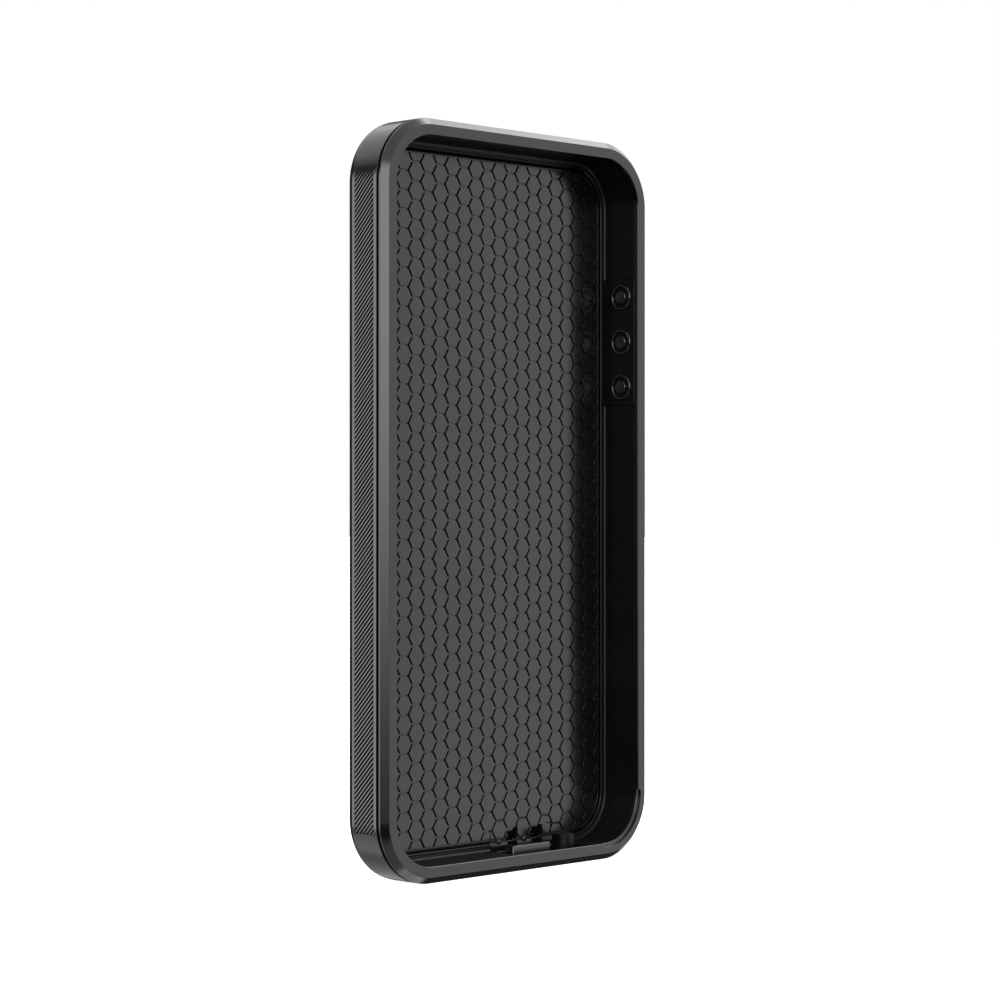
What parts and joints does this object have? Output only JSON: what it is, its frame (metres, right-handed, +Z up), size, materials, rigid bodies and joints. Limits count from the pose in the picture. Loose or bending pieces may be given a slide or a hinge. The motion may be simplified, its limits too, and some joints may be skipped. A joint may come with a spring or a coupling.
{
  "type": "phone case",
  "caption": "Black protective phone case: chamfered push-fit bezel, closed back with ribbed grip sides, soft liner with a honeycomb floor, side buttons and a hinged port door.",
  "frame": {"origin": "centre of the bottom edge: middle of the width and thickness, at the lowest point", "axes": "+Z up along the height, +X to the phone user's right, +Y from the open front to the closed back"},
  "size_m": [0.0838, 0.0128, 0.165],
  "materials": {
    "hard_shell": "gloss black moulded polycarbonate",
    "button_plastic": "satin black moulded plastic",
    "liner_tpu": "glossy black soft urethane",
    "pad_tpu": "smooth black soft urethane with honeycomb grooves",
    "grip_rubber": "semi-gloss black rubber with fine slanted ribs",
    "plug_rubber": "satin black rubber",
    "seal_rubber": "matte black rubber",
    "hinge_metal": "black coated steel"
  },
  "bodies": {
    "case": {"back_tray": "hard_shell", "front_bezel": "hard_shell", "seam_gasket": "seal_rubber", "inner_liner": "liner_tpu", "floor_bead": "liner_tpu", "floor_pad": "pad_tpu", "grip_panel_left": "grip_rubber", "grip_panel_right": "grip_rubber", "button_membrane": "liner_tpu", "hinge_bracket": "hinge_metal", "hinge_pin": "hinge_metal"},
    "upper_button": {"upper_button_cap": "button_plastic", "upper_button_nub": "liner_tpu"},
    "middle_button": {"middle_button_cap": "button_plastic", "middle_button_nub": "liner_tpu"},
    "lower_button": {"lower_button_cap": "button_plastic", "lower_button_nub": "liner_tpu"},
    "port_flap": {"port_door": "hard_shell", "port_plug": "plug_rubber", "jack_plug": "plug_rubber", "door_seal": "seal_rubber"}
  },
  "joints": [
    {"name": "upper_button_press", "type": "slide", "parent": "case", "child": "upper_button", "axis": [-1, 0, 0], "range_m": [0, 0.0005], "stiffness_N_per_m": 1},
    {"name": "middle_button_press", "type": "slide", "parent": "case", "child": "middle_button", "axis": [-1, 0, 0], "range_m": [0, 0.0005], "stiffness_N_per_m": 1},
    {"name": "lower_button_press", "type": "slide", "parent": "case", "child": "lower_button", "axis": [-1, 0, 0], "range_m": [0, 0.0005], "stiffness_N_per_m": 1},
    {"name": "port_door_hinge", "type": "hinge", "parent": "case", "child": "port_flap", "pos_m": [0, 0.0053, 0.0043], "axis": [1, 0, 0], "range_deg": [0, 90], "stiffness_Nm_per_rad": 0.0003, "springref_deg": -11.46}
  ]
}
